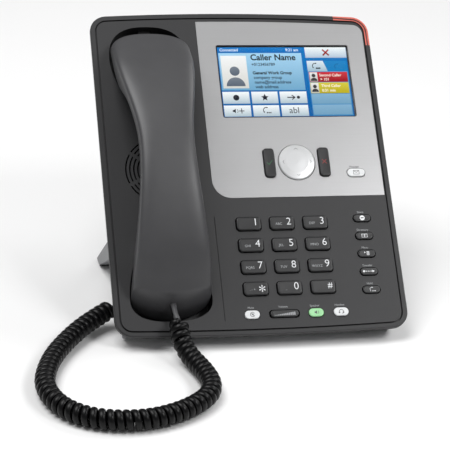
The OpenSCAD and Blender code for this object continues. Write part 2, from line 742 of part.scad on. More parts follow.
// ---- keys ---------------------------------------------------------------------------
module key_cap(key) face() translate([key[0], key[1], 0]) {
  slab(key_foot, key[4]) rounded_box(key[2], key[3]);
  slab(key_foot, key_foot + flange_t)
    rounded_box(key[2] + [2 * flange_w, 2 * flange_w], key[3] + flange_w);
}
module key_1() color("gray") key_cap(dial(0, 0));
module key_2() color("gray") key_cap(dial(1, 0));
module key_3() color("gray") key_cap(dial(2, 0));
module key_4() color("gray") key_cap(dial(0, 1));
module key_5() color("gray") key_cap(dial(1, 1));
module key_6() color("gray") key_cap(dial(2, 1));
module key_7() color("gray") key_cap(dial(0, 2));
module key_8() color("gray") key_cap(dial(1, 2));
module key_9() color("gray") key_cap(dial(2, 2));
module key_star() color("gray") key_cap(dial(0, 3));
module key_0() color("gray") key_cap(dial(1, 3));
module key_hash() color("gray") key_cap(dial(2, 3));
module key_dnd() color("#505050") key_cap(function_key(0));
module key_directory() color("#505050") key_cap(function_key(1));
module key_menu() color("#505050") key_cap(function_key(2));
module key_transfer() color("#505050") key_cap(function_key(3));
module key_hold() color("#505050") key_cap(function_key(4));
module key_mute() color("white") key_cap(mute_key);
module key_speaker() color("palegreen") key_cap(speaker_key);
module key_headset() color("white") key_cap(headset_key);
module key_message() color("white") key_cap(message_key);
module key_ok() color("#404040") key_cap(ok_key);
module key_cancel() color("#404040") key_cap(cancel_key);
module key_volume() color("#505050") face() translate([volume_x, bottom_y, 0]) {
  slab(-3.6, pill_rise) rounded_box(rocker_size, rocker_size[1] / 2 - eps);
  // The round rib that it rocks on
  translate([0, 0, rocker_pivot]) rotate([90, 0, 0])
    cylinder(h = rocker_size[1] - 0.4, r = 1.2, center = true);
}
module nav_carrier() color("gray") face() translate([nav_pos[0], nav_pos[1], nav_pivot]) {
  difference() {
    slab(-1, 1) circle(8.5);
    slab(-2, 2) circle(6);
    rotate([90, 0, 0]) cylinder(h = 20, r = nav_pin_r + running_gap, center = true);
  }
  for (side = [-1, 1]) translate([side * 9.9, 0, 0]) rotate([0, 90, 0])
    cylinder(h = 3.6, r = nav_pin_r, center = true);
}
module nav_disc() color("silver") face() translate([nav_pos[0], nav_pos[1], 0]) {
  rotate_extrude() polygon([
    [0, nav_rim_z], [nav_r, nav_rim_z], [nav_r, 0.6], [nav_r - 0.7, 1.2],
    [8, nav_top - 0.2], [0, nav_top]
  ]);
  slab(nav_pivot - 1.2, nav_rim_z + eps) circle(4.2);
  translate([0, 0, nav_pivot]) rotate([90, 0, 0]) cylinder(h = 15, r = nav_pin_r, center = true);
}

rear_housing();
front_cover();
faceplate();
light_pipe();
touch_glass();
lcd_panel();
display_frame();
main_board();
key_mat();
speaker_driver();
speaker_retainer();
network_jacks();
power_jack();
cord_jacks();
housing_screws();
front_feet();
stand_frame();
stand_feet();
stand_pins();
hook_plunger();
hook_switch_body();
handset_retainer();
grip_shell();
face_shell();
ear_cap();
mouth_cap();
earpiece_capsule();
handset_weight();
handset_jack();
handset_plug();
base_plug();
curly_cord();
lead_handset();
lead_base();
key_1();
key_2();
key_3();
key_4();
key_5();
key_6();
key_7();
key_8();
key_9();
key_star();
key_0();
key_hash();
key_dnd();
key_directory();
key_menu();
key_transfer();
key_hold();
key_mute();
key_volume();
key_speaker();
key_headset();
key_message();
key_ok();
key_cancel();
nav_carrier();
nav_disc();
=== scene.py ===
"""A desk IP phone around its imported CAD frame: cord, handset, keys, display and finishes.

Sizes are in millimetres until they are placed. The face is drawn flat, x across, y up the
face and z out of it, and FACE stands it on the desk, as in the CAD model.
"""
import math

import bpy
from mathutils import Matrix, Vector


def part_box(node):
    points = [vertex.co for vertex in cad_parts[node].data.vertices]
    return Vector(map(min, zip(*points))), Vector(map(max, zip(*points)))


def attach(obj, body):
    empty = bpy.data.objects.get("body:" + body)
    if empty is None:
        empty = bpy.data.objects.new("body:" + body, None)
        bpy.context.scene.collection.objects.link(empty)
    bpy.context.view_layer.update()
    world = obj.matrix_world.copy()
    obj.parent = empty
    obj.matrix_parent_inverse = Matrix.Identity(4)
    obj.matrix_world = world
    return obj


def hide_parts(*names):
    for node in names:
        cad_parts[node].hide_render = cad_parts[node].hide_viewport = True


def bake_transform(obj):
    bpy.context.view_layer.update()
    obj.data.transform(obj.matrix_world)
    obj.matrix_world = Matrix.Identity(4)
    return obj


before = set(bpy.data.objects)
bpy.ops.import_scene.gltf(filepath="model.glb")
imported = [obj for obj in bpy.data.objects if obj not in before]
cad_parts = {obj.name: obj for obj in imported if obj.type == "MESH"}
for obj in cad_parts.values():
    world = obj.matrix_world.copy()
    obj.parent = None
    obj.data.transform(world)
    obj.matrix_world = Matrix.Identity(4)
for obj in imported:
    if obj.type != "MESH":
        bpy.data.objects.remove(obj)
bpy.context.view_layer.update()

MM = 0.001
FACE_ANGLE = math.radians(44)
EDGE_HEIGHT = 10
EDGE_BREAK = 0.5

# The face's own frame, found from the cover's lowest edge.
shift_y = EDGE_BREAK * math.sin(FACE_ANGLE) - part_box("front_cover")[0].y / MM
DESK = Matrix.Translation((0, -shift_y * MM, 0))
FACE = DESK @ Matrix.Translation((0, 0, EDGE_HEIGHT * MM)) @ Matrix.Rotation(FACE_ANGLE, 4, "X")


def on_desk(x, y, z):
    """A point on the face, in millimetres over the desk."""
    c, s = math.cos(FACE_ANGLE), math.sin(FACE_ANGLE)
    return Vector((x, y * c - z * s, EDGE_HEIGHT + y * s + z * c))


def srgb(r, g, b):
    """A display colour from 0 to 255, as the linear colour that a shader takes."""
    def linear(c):
        c = c / 255
        return c / 12.92 if c <= 0.04045 else ((c + 0.055) / 1.055) ** 2.4
    return linear(r), linear(g), linear(b), 1


# ---- camera ---------------------------------------------------------------------------
def make_camera():
    """Seen from the user's left, a long lens, rolled a little."""
    data = bpy.data.cameras.new("camera")
    data.sensor_width = 36
    data.lens = 144.3
    data.clip_end = 20
    camera = bpy.data.objects.new("camera", data)
    bpy.context.scene.collection.objects.link(camera)
    turn, tilt, roll = math.radians(14.63), math.radians(25.18), math.radians(4.96)
    aim = Matrix.Rotation(-turn, 4, "Z") @ Matrix.Rotation(math.pi / 2 - tilt, 4, "X")
    place = Matrix.Translation(Vector((-300.2, -1016.7 - shift_y, 586.2)) * MM)
    camera.matrix_world = place @ aim @ Matrix.Rotation(roll, 4, "Z")
    bpy.context.scene.camera = camera


make_camera()


# ---- meshes ---------------------------------------------------------------------------
def new_piece(name, shape, material, body, place=FACE, replaces=(), smooth=True):
    """A mesh piece from (points in mm, faces), riding on a body."""
    points, faces = shape
    mesh = bpy.data.meshes.new(name)
    mesh.from_pydata([place @ (Vector(p) * MM) for p in points], [], faces)
    mesh.validate()
    mesh.polygons.foreach_set("use_smooth", [smooth] * len(mesh.polygons))
    mesh.materials.append(material)
    piece = bpy.data.objects.new(name, mesh)
    bpy.context.scene.collection.objects.link(piece)
    if body:
        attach(piece, body)
    if replaces:
        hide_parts(*replaces)
    return piece


def joined(shapes):
    """Several shapes as one."""
    points, faces = [], []
    for more_points, more_faces in shapes:
        start = len(points)
        points += more_points
        faces += [[start + i for i in face] for face in more_faces]
    return points, faces


def loft(rings, first_cap=True, last_cap=True):
    """Rings with the same number of points, joined into a skin."""
    n = len(rings[0])
    points = [p for ring in rings for p in ring]
    faces = [
        [i * n + j, i * n + (j + 1) % n, (i + 1) * n + (j + 1) % n, (i + 1) * n + j]
        for i in range(len(rings) - 1) for j in range(n)
    ]
    if first_cap:
        faces.append(list(range(n))[::-1])
    if last_cap:
        faces.append([(len(rings) - 1) * n + j for j in range(n)])
    return points, faces


def full_turn(steps):
    """Even angles once round."""
    return [2 * math.pi * k / steps for k in range(steps)]


def tube_rings(path, radius, sides):
    """Round sections along a path, turned as little as possible from one to the next."""
    rings = []
    across = Vector((0, 0, 1)).cross(path[1] - path[0]).normalized()
    for i, point in enumerate(path):
        along = (path[min(i + 1, len(path) - 1)] - path[max(i - 1, 0)]).normalized()
        across = (across - along * across.dot(along)).normalized()
        up = along.cross(across)
        rings.append([point + radius * (across * math.cos(a) + up * math.sin(a))
                      for a in full_turn(sides)])
    return rings


def smooth_path(points, parts):
    """Extra points on a smooth curve through the given ones."""
    path = []
    last = len(points) - 1
    for i in range(last):
        a, b, c, d = (Vector(points[min(max(k, 0), last)]) for k in range(i - 1, i + 3))
        for k in range(parts):
            t = k / parts
            path.append(0.5 * (
                2 * b + (c - a) * t + (2 * a - 5 * b + 4 * c - d) * t * t
                + (3 * b - a - 3 * c + d) * t ** 3
            ))
    path.append(Vector(points[-1]))
    return path


def path_length(path):
    return sum((b - a).length for a, b in zip(path, path[1:]))


def smooth_step(x):
    t = min(max(x, 0), 1)
    return t * t * (3 - 2 * t)


# ---- materials ------------------------------------------------------------------------
# The stretch of a noise texture's value that nearly all of its points fall in
NOISE_LOW, NOISE_HIGH = 0.3, 0.7


def base_material(name, color, roughness, metallic=0.0):
    material = bpy.data.materials.new(name)
    material.use_nodes = True
    shader = material.node_tree.nodes["Principled BSDF"]
    shader.inputs["Base Color"].default_value = color
    shader.inputs["Roughness"].default_value = roughness
    shader.inputs["Metallic"].default_value = metallic
    return material, shader


def add_noise(material, scale, detail=2.0, stretch=None, turn=0.0):
    """A noise texture in the object's own coordinates, scale in waves per metre."""
    nodes, links = material.node_tree.nodes, material.node_tree.links
    coords = nodes.new("ShaderNodeTexCoord")
    noise = nodes.new("ShaderNodeTexNoise")
    noise.inputs["Scale"].default_value = scale
    noise.inputs["Detail"].default_value = detail
    source = coords.outputs["Object"]
    if stretch:
        first = nodes.new("ShaderNodeMapping")
        first.inputs["Rotation"].default_value = (-turn, 0, 0)
        links.new(source, first.inputs["Vector"])
        second = nodes.new("ShaderNodeMapping")
        second.inputs["Scale"].default_value = stretch
        links.new(first.outputs["Vector"], second.inputs["Vector"])
        source = second.outputs["Vector"]
    links.new(source, noise.inputs["Vector"])
    return noise.outputs["Fac"]


def add_mottle(material, shader, color, share, fac):
    """The base colour drifts by a share either way."""
    nodes, links = material.node_tree.nodes, material.node_tree.links
    ramp = nodes.new("ShaderNodeValToRGB")
    ramp.color_ramp.elements[0].position = NOISE_LOW
    ramp.color_ramp.elements[1].position = NOISE_HIGH
    ramp.color_ramp.elements[0].color = [c * (1 - share) for c in color[:3]] + [1]
    ramp.color_ramp.elements[1].color = [min(c * (1 + share), 1) for c in color[:3]] + [1]
    links.new(fac, ramp.inputs["Fac"])
    links.new(ramp.outputs["Color"], shader.inputs["Base Color"])


def add_range(material, socket, low, high, fac):
    """A socket follows a noise between two values."""
    nodes, links = material.node_tree.nodes, material.node_tree.links
    spread = nodes.new("ShaderNodeMapRange")
    spread.inputs["From Min"].default_value = NOISE_LOW
    spread.inputs["From Max"].default_value = NOISE_HIGH
    spread.inputs["To Min"].default_value = low
    spread.inputs["To Max"].default_value = high
    links.new(fac, spread.inputs["Value"])
    links.new(spread.outputs["Result"], socket)


def add_bump(material, shader, strength, depth, fac):
    nodes, links = material.node_tree.nodes, material.node_tree.links
    bump = nodes.new("ShaderNodeBump")
    bump.inputs["Strength"].default_value = strength
    bump.inputs["Distance"].default_value = depth * MM
    links.new(fac, bump.inputs["Height"])
    links.new(bump.outputs["Normal"], shader.inputs["Normal"])


def moulded(name, color, roughness, grain=0.5, grain_depth=0.03, strength=0.25, spread=0.06,
            gloss=0.5):
    """Moulded plastic or rubber with a fine grain, grain and its depth in millimetres."""
    material, shader = base_material(name, color, roughness)
    shader.inputs["Specular IOR Level"].default_value = gloss
    fine = add_noise(material, 1 / (grain * MM), 3)
    add_mottle(material, shader, color, 0.05, add_noise(material, 90, 3))
    low, high = max(roughness - spread, 0.03), min(roughness + spread, 1)
    add_range(material, shader.inputs["Roughness"], low, high, fine)
    add_bump(material, shader, strength, grain_depth, fine)
    return material


def printed(name, r, g, b):
    """The thin ink of a printed mark."""
    return moulded(name, srgb(r, g, b), 0.5, 0.2, 0.005, 0.05)


def brushed(name, color, roughness, metallic, strength=0.08, turn=FACE_ANGLE):
    """Metal or metal paint with fine lines across the face."""
    material, shader = base_material(name, color, roughness, metallic)
    lines = add_noise(material, 1, 3, stretch=(40, 5200, 5200), turn=turn)
    add_mottle(material, shader, color, 0.015, add_noise(material, 1, 3, (30, 2400, 2400), turn))
    add_range(material, shader.inputs["Roughness"], roughness - 0.07, roughness + 0.07, lines)
    add_bump(material, shader, strength, 0.02, lines)
    return material


def plated(name, color, roughness):
    """Bare or plated metal with faint rolling marks."""
    material, shader = base_material(name, color, roughness, 1)
    marks = add_noise(material, 700, 4)
    add_mottle(material, shader, color, 0.08, add_noise(material, 120, 3))
    add_range(material, shader.inputs["Roughness"], roughness - 0.06, roughness + 0.1, marks)
    add_bump(material, shader, 0.1, 0.02, marks)
    return material


def glowing(name, low, high, strength):
    """A lit area of the display: its colour runs from low to high up each piece's own UV."""
    material, shader = base_material(name, (0.004, 0.004, 0.005, 1), 0.6)
    shader.inputs["Specular IOR Level"].default_value = 0.1
    nodes, links = material.node_tree.nodes, material.node_tree.links
    coords = nodes.new("ShaderNodeTexCoord")
    split = nodes.new("ShaderNodeSeparateXYZ")
    ramp = nodes.new("ShaderNodeValToRGB")
    ramp.color_ramp.elements[0].color = low
    ramp.color_ramp.elements[1].color = high
    links.new(coords.outputs["UV"], split.inputs["Vector"])
    links.new(split.outputs["Y"], ramp.inputs["Fac"])
    links.new(ramp.outputs["Color"], shader.inputs["Emission Color"])
    shader.inputs["Emission Strength"].default_value = strength
    return material


cover_plastic = moulded("cover_plastic", srgb(28, 28, 30), 0.5, 0.45, 0.03, 0.2)
housing_plastic = moulded("housing_plastic", srgb(122, 123, 125), 0.55, 0.6, 0.04, 0.3)
handset_plastic = moulded("handset_plastic", srgb(61, 61, 63), 0.42, 0.35, 0.015, 0.12)
key_plastic = moulded("key_plastic", srgb(20, 20, 22), 0.42, 0.3, 0.015, 0.15)
rocker_plastic = moulded("rocker_plastic", srgb(18, 19, 20), 0.4, 0.3, 0.015, 0.15)
silver_paint = brushed("silver_paint", srgb(170, 170, 171), 0.36, 0.6)
nav_paint = brushed("nav_paint", srgb(198, 199, 200), 0.36, 0.4, 0.06)
stand_plastic = moulded("stand_plastic", srgb(122, 123, 125), 0.5)
rubber = moulded("rubber", srgb(40, 40, 41), 0.75, 0.8, 0.06, 0.4)
cord_vinyl = moulded("cord_vinyl", srgb(3, 3, 4), 0.34, 0.9, 0.03, 0.2, gloss=0.22)
sleeve_rubber = moulded("sleeve_rubber", srgb(66, 66, 68), 0.5, 0.6, 0.02, 0.2)
print_white = printed("print_white", 226, 228, 230)
print_grey = printed("print_grey", 158, 160, 162)
print_chevron = printed("print_chevron", 120, 121, 123)
print_dark = printed("print_dark", 74, 75, 76)
print_green = printed("print_green", 48, 122, 70)
print_red = printed("print_red", 140, 44, 40)
inner_plastic = moulded("inner_plastic", srgb(34, 35, 37), 0.6)
natural_plastic = moulded("natural_plastic", srgb(196, 194, 188), 0.5)
silicone = moulded("silicone", srgb(200, 200, 198), 0.6)
socket_plastic = moulded("socket_plastic", srgb(28, 28, 29), 0.35)
solder_mask = moulded("solder_mask", srgb(24, 92, 52), 0.35, 1.6, 0.05, 0.4)
cone_paper = moulded("cone_paper", srgb(44, 44, 46), 0.8, 1.2, 0.1, 0.6)
steel = plated("steel", srgb(188, 188, 190), 0.3)
socket_metal = plated("socket_metal", srgb(200, 200, 202), 0.25)


def clear_material(name, color, roughness, transmission, ior=1.49):
    """A clear moulding or glass, with faint waves in its gloss."""
    material, shader = base_material(name, color, roughness)
    shader.inputs["Transmission Weight"].default_value = transmission
    shader.inputs["IOR"].default_value = ior
    waves = add_noise(material, 30, 2)
    add_range(material, shader.inputs["Roughness"], roughness, roughness + 0.03, waves)
    return material


plug_plastic = clear_material("plug_plastic", srgb(222, 226, 228), 0.12, 0.7)
cover_glass = clear_material("cover_glass", (1, 1, 1, 1), 0.02, 1.0, 1.15)
lens_red = moulded("lens_red", srgb(198, 104, 92), 0.25, 1.2, 0.01, 0.1, 0.04)
lens_shader = lens_red.node_tree.nodes["Principled BSDF"]
# A faint painted glow: the emission stands in for room light caught in the clear red pipe; no lamp
# sits behind it.
lens_shader.inputs["Emission Color"].default_value = srgb(214, 110, 98)
lens_shader.inputs["Emission Strength"].default_value = 0.12
# Painted shade: a dark red-brown for the dim middle of the clear red pipe.
lens_painted_shade = moulded("lens_painted_shade", srgb(84, 50, 48), 0.3, 1.2, 0.01, 0.1, 0.04)
lit_white = moulded("lit_white", srgb(214, 216, 217), 0.35, 0.3, 0.01, 0.08)
lit_green = moulded("lit_green", srgb(148, 206, 150), 0.35, 0.3, 0.01, 0.08)

CAD_FINISHES = {
    "front_cover": cover_plastic, "rear_housing": housing_plastic, "faceplate": silver_paint,
    "light_pipe": lens_red, "touch_glass": cover_glass, "lcd_panel": inner_plastic,
    "display_frame": steel, "main_board": solder_mask, "key_mat": silicone,
    "speaker_driver": cone_paper, "speaker_retainer": inner_plastic,
    "network_jacks": socket_metal, "power_jack": socket_plastic,
    "cord_jacks": socket_plastic, "housing_screws": steel, "front_feet": rubber,
    "stand_frame": stand_plastic, "stand_feet": rubber, "stand_pins": steel,
    "hook_plunger": natural_plastic, "hook_switch_body": inner_plastic,
    "handset_retainer": socket_plastic, "ear_cap": cover_plastic,
    "mouth_cap": cover_plastic, "earpiece_capsule": steel, "handset_weight": steel,
    "handset_jack": socket_plastic, "handset_plug": plug_plastic, "base_plug": plug_plastic,
    "nav_carrier": inner_plastic, "nav_disc": nav_paint,
}
for node, finish in CAD_FINISHES.items():
    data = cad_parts[node].data
    data.materials.clear()
    data.materials.append(finish)
for node in ("stand_frame", "front_feet", "stand_feet"):
    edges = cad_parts[node].modifiers.new("soft_edges", "BEVEL")
    edges.width = 0.8 * MM
    edges.segments = 3

# ---- cord -----------------------------------------------------------------------------
# The wire is flat: its wide side lies along the coil, its thin side points at the coil's middle.
COIL_R = 6.75
COIL_Z = COIL_R + 0.15
WIRE_WIDE = 2.35
WIRE_THIN = 1.65
POINTS_PER_TURN = 18
# The least distance between two points of the wire
POINT_SPACING = 0.6
# How much of the route the turns take at each end to open to their full size
COIL_OPENING = 2.2
# Where the cord leaves the handset's mouth end, on the face
MOUTH_EXIT = Vector((-61.9, 21.9, 3.3))
EXIT_TILT = math.radians(62)
COIL_ROUTE = [
    (-61, -1, 23), (-60.7, -5.2, 19), (-60, -10.5, 14.5), (-58, -15.5, 10.5),
    (-55.6, -21.5, 8), (-52.8, -29, 7), (-50.2, -39, COIL_Z), (-48.8, -51, COIL_Z),
    (-50.5, -61.5, COIL_Z), (-56, -71, COIL_Z), (-66, -80, COIL_Z), (-78.5, -87.2, COIL_Z),
    (-92.5, -92, COIL_Z), (-106.5, -93.3, COIL_Z), (-121, -91.5, COIL_Z),
    (-134, -86, COIL_Z), (-144.5, -76.5, COIL_Z), (-151.5, -63, COIL_Z),
    (-153.8, -48, COIL_Z), (-151.8, -33.5, COIL_Z), (-145, -14, COIL_Z), (-134.5, 4.5, 7.3),
    (-121.5, 20.5, 9), (-108, 32.5, 11), (-99, 38, 13),
]
BASE_ROUTE = [
    on_desk(-92, 32.5, -23.4), on_desk(-84.5, 36, -23.1),
    on_desk(-79.2, 38.8, -22.8), on_desk(-78, 41.4, -22.8),
]
# The turns open out a little in front: (share of the way along, millimetres a turn)
PITCHES = [(0, 4.9), (0.35, 5.0), (0.52, 5.2), (0.68, 5.1), (1, 5.0)]


def exit_point(out):
    """A point on the line that the cord leaves the handset along, out millimetres from it."""
    return on_desk(*(MOUTH_EXIT + out * Vector((0, -math.sin(EXIT_TILT), math.cos(EXIT_TILT)))))


def pitch_at(share):
    """Millimetres a turn, a share of the way along the coil."""
    for (a, low), (b, high) in zip(PITCHES, PITCHES[1:]):
        if share <= b:
            return low + (high - low) * (share - a) / (b - a)
    return PITCHES[-1][1]


def coil_path():
    """The wire's own line, as (point, the coil's axis there): a helix round the route."""
    route = smooth_path(COIL_ROUTE, 40)
    total = path_length(route)
    frames = tube_rings(route, 1, 4)
    wound = []
    turn, gone = math.pi / 2, 0
    for i, point in enumerate(route):
        if i:
            step = (point - route[i - 1]).length
            gone += step
            turn += 2 * math.pi * step / pitch_at(gone / total)
        wound.append((turn, point, frames[i][0] - point, frames[i][1] - point, gone))
    path = []
    k = 0
    steps = int((wound[-1][0] - wound[0][0]) / (2 * math.pi) * POINTS_PER_TURN)
    for s in range(steps + 1):
        at = wound[0][0] + (wound[-1][0] - wound[0][0]) * s / steps
        while k < len(wound) - 2 and wound[k + 1][0] < at:
            k += 1
        (t0, p0, x0, y0, g0), (t1, p1, x1, y1, g1) = wound[k], wound[k + 1]
        mix = (at - t0) / (t1 - t0)
        point, across, up = p0.lerp(p1, mix), x0.lerp(x1, mix), y0.lerp(y1, mix)
        along = g0 + (g1 - g0) * mix
        rise = min(1, min(along, total - along) / COIL_OPENING + 0.06)
        radius = (COIL_R - WIRE_THIN) * math.sin(rise * math.pi / 2)
        path.append((point + radius * (across * math.cos(at) + up * math.sin(at)),
                     across.cross(up)))
    return path


def flat_rings(path, axes, sides=12):
    """Sections along the wire: flat beside the coil's axis, round where the wire follows it."""
    rings = []
    for i, (point, axis) in enumerate(zip(path, axes)):
        along = (path[min(i + 1, len(path) - 1)] - path[max(i - 1, 0)]).normalized()
        flat = 1 - abs(along.dot(axis))
        if flat > 0.05 or not rings:
            wide = (axis - along * along.dot(axis)).normalized()
        else:
            wide = (wide_before - along * along.dot(wide_before)).normalized()
        wide_before = wide
        thin = along.cross(wide)
        half = WIRE_THIN + (WIRE_WIDE - WIRE_THIN) * smooth_step(flat / 0.6)
        rings.append([point + wide * half * math.cos(a) + thin * WIRE_THIN * math.sin(a)
                      for a in full_turn(sides)])
    return rings


def wire_rings(stretch):
    """The line and the rings of a stretch of wire, given as (point, axis); crowded points go."""
    kept = stretch[:1]
    for point, axis in stretch[1:]:
        if (point - kept[-1][0]).length >= POINT_SPACING:
            kept.append((point, axis))
    path = [point for point, axis in kept]
    return path, flat_rings(path, [axis for point, axis in kept])


sideways = Vector((1, 0, 0))
coil = coil_path()
lead = smooth_path([exit_point(-3), exit_point(2), exit_point(7), exit_point(10)], 3)
tail = smooth_path(BASE_ROUTE, 5)
wire, rings = wire_rings([(point, sideways) for point in lead] + coil)
cord = new_piece("handset_cord", loft(rings), cord_vinyl, None, DESK,
                 replaces=("curly_cord", "lead_handset"))
# The straight end at the base jack stays with the base, and starts inside the coil's last turn.
tail_rings = wire_rings(coil[-4:] + [(point, coil[-1][1]) for point in tail])[1]
cord_tail = new_piece("cord_tail", loft(tail_rings), cord_vinyl, "base", DESK,
                      replaces=("lead_base",))
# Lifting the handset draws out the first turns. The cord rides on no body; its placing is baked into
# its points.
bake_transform(cord)

# A short soft sleeve where the cord leaves the handset
sleeve_path = [exit_point(out) for out in (-1.6, 0, 3, 6, 9)]
sleeve_path += [Vector((-61.5, 1.8, 24.2)), Vector((-61, -0.8, 23.1))]
sleeve_radii = [2.3, 2.25, 2.15, 2.05, 2, 2, 1.9]
sleeve_rings = [
    [centre + (p - centre) * r for p in ring]
    for centre, ring, r in zip(sleeve_path, tube_rings(sleeve_path, 1, 20), sleeve_radii)
]
new_piece("cord_sleeve", loft(sleeve_rings), sleeve_rubber, "handset", DESK)

# ---- handset --------------------------------------------------------------------------
CRADLE_X = -61.9
WAIST_Y = 125.2
END_LOW, END_HIGH = 18.5, 220.3
LOW_ZONE, HIGH_ZONE = 5, 13.5
LOW_REACH, HIGH_REACH = 109, 72
CAP_FACE = -14
TOP_POWER, UNDER_POWER = 0.42, 0.86
END_GAP = 0.005


def half_width(y):
    """Half the width, narrow at the waist."""
    reach = HIGH_REACH if y > WAIST_Y else LOW_REACH
    return 18.6 + 8.6 * smooth_step(abs(y - WAIST_Y) / reach)


def arch(y):
    """How high the middle of the grip stands over the face."""
    return 32.2 - 33.7 * ((y - WAIST_Y + 2.4) / 100) ** 2


def half_thick(y):
    """From the middle line up to the back of the grip."""
    return 7.2 + (7.4 if y < WAIST_Y else 2.1) * ((y - WAIST_Y) / 95) ** 2


def underside(y):
    """The lowest line: flat at both caps, arched between them."""
    middle = smooth_step((y - 52) / 30 if y < WAIST_Y else (186 - y) / 30)
    return (1 - middle) * (CAP_FACE + 1.5) + middle * (arch(y) - 10)


def end_share(y):
    """How far into a rounded end: 0 before it, 1 at its tip."""
    return max((END_LOW + LOW_ZONE - y) / LOW_ZONE, (y - END_HIGH + HIGH_ZONE) / HIGH_ZONE, 0)


def width_scale(y):
    """How the rounded ends draw the width in."""
    e = end_share(y)
    return (1 - e ** 5) ** 0.2 if y < WAIST_Y else (1 - e ** 3.3) ** 0.3


def thick_scale(y):
    """How the rounded ends draw the thickness in."""
    e = end_share(y)
    return (1 - e ** 6) ** 0.25 if y < WAIST_Y else (1 - e ** 5) ** (1 / 3)


def end_bow(y):
    """How far the ends curve along the handset at their sides."""
    if y < WAIST_Y:
        return 6.6 * smooth_step((60 - y) / 45)
    return -4.1 * smooth_step((y - 185) / 34)


def end_lean(y):
    """How much the mouth end leans with height."""
    return 0.45 * smooth_step((62 - y) / 42)


def skin_point(y, side, a, shrink):
    """A point of the skin; side is 1 over the middle line, -1 under it."""
    power = TOP_POWER if side > 0 else UNDER_POWER
    across = math.copysign(abs(math.cos(a)) ** power, math.cos(a))
    x = half_width(y) * width_scale(y) * across * shrink
    tall = half_thick(y) if side > 0 else arch(y) - underside(y)
    z = side * tall * thick_scale(y) * math.sin(a) ** power * shrink
    return Vector((
        CRADLE_X + x,
        y + end_bow(y) * (x / 27) ** 2 + end_lean(y) * z,
        arch(y) + z,
    ))


def handset_half(side, steps=48):
    """One half of the handset's skin, from the mouth end to the ear end."""
    low = [END_LOW + LOW_ZONE * (1 - math.cos(math.pi / 2 * k / 14)) for k in range(1, 14)]
    high = [END_HIGH - HIGH_ZONE * (1 - math.cos(math.pi / 2 * k / 18)) for k in range(17, 0, -1)]
    first, last = low[-1], high[0]
    middle = [first + (last - first) * k / 70 for k in range(1, 70)]
    sections = [(END_LOW + END_GAP, shrink) for shrink in (0.02, 0.3, 0.6, 0.85)]
    sections += [(y, 1) for y in [END_LOW + END_GAP] + low + middle + high + [END_HIGH - END_GAP]]
    sections.append((END_HIGH - END_GAP, 0.02))
    rings = [
        [skin_point(y, side, math.pi * i / steps, shrink) for i in range(steps + 1)]
        for y, shrink in sections
    ]
    n = steps + 1
    points = [p for ring in rings for p in ring]
    faces = []
    for i in range(len(rings) - 1):
        for j in range(steps):
            face = [i * n + j, (i + 1) * n + j, (i + 1) * n + j + 1, i * n + j + 1]
            faces.append(face[::side])
    return points, faces


new_piece("handset_grip", handset_half(1), handset_plastic, "handset",
          replaces=("grip_shell",))
new_piece("handset_face", handset_half(-1), handset_plastic, "handset",
          replaces=("face_shell",))


# ---- keys -----------------------------------------------------------------------------
def rounded_ring(size, radius, z, steps=6):
    """A rounded rectangle's outline at height z, anticlockwise."""
    ring = []
    w, h = size[0] / 2 - radius, size[1] / 2 - radius
    for quarter, (sx, sy) in enumerate([(1, 1), (-1, 1), (-1, -1), (1, -1)]):
        for k in range(steps + 1):
            a = math.pi / 2 * (quarter + k / steps)
            ring.append(Vector((sx * w + radius * math.cos(a), sy * h + radius * math.sin(a), z)))
    return ring


def key_shape(size, radius, top, edge, dish, foot=-3):
    """A key with a rounded top edge and a shallow dish, centred on its own place."""
    radius = min(radius, min(size) / 2 - 0.01)
    rings = [rounded_ring(size, radius, foot)]
    for k in range(6):
        a = math.pi / 2 * k / 5
        inset = edge * (1 - math.cos(a))
        rings.append(rounded_ring(
            [size[0] - 2 * inset, size[1] - 2 * inset], radius - inset,
            top - edge + edge * math.sin(a)))
    for share in (0.85, 0.6, 0.3):
        inner = [2 * (size[i] / 2 - edge) * share for i in range(2)]
        rings.append(rounded_ring(inner, (radius - edge) * share, top - dish * (1 - share ** 2)))
    return loft(rings)


def moved(shape, x, y, z=0):
    points, faces = shape
    return [Vector(p) + Vector((x, y, z)) for p in points], faces


def plate(outlines, z, thickness=0.08):
    """Flat marks with a little thickness; each outline goes round anticlockwise."""
    shapes = []
    for outline in outlines:
        low = [Vector((x, y, z)) for x, y in outline]
        high = [Vector((x, y, z + thickness)) for x, y in outline]
        shapes.append(loft([low, high]))
    return joined(shapes)


def disc(x, y, r, steps=20):
    return [(x + r * math.cos(a), y + r * math.sin(a)) for a in full_turn(steps)]


def rectangle(x0, y0, x1, y1):
    return [(x0, y0), (x1, y0), (x1, y1), (x0, y1)]


def stroke(points, width):
    """A line of the given width through the points, one rectangle a stretch."""
    outlines = []
    for (x0, y0), (x1, y1) in zip(points, points[1:]):
        length = math.hypot(x1 - x0, y1 - y0)
        ex, ey = (x1 - x0) / length * width / 2, (y1 - y0) / length * width / 2
        outlines.append([
            (x0 - ex + ey, y0 - ey - ex), (x1 + ex + ey, y1 + ey - ex),
            (x1 + ex - ey, y1 + ey + ex), (x0 - ex - ey, y0 - ey + ex),
        ])
    return outlines


def arc(x, y, r, start, end, steps=10):
    turns = [math.radians(start + (end - start) * k / steps) for k in range(steps + 1)]
    return [(x + r * math.cos(a), y + r * math.sin(a)) for a in turns]


def check_mark(s):
    return stroke([(-s, -0.1 * s), (-0.3 * s, -0.8 * s), (s, 0.8 * s)], 0.3)


def cross_mark(s, width=0.35):
    return stroke([(-s, -s), (s, s)], width) + stroke([(-s, s), (s, -s)], width)


def envelope(w, h):
    box = [(-w, -h), (w, -h), (w, h), (-w, h), (-w, -h)]
    return stroke(box, 0.28) + stroke([(-w, h), (0, -0.1 * h), (w, h)], 0.28)


def microphone():
    return (stroke(arc(0, 0, 1.5, 30, 330), 0.3) + stroke([(-0.9, 0.9), (1.2, -1.2)], 0.3)
            + [disc(0.2, 0.1, 0.55)])


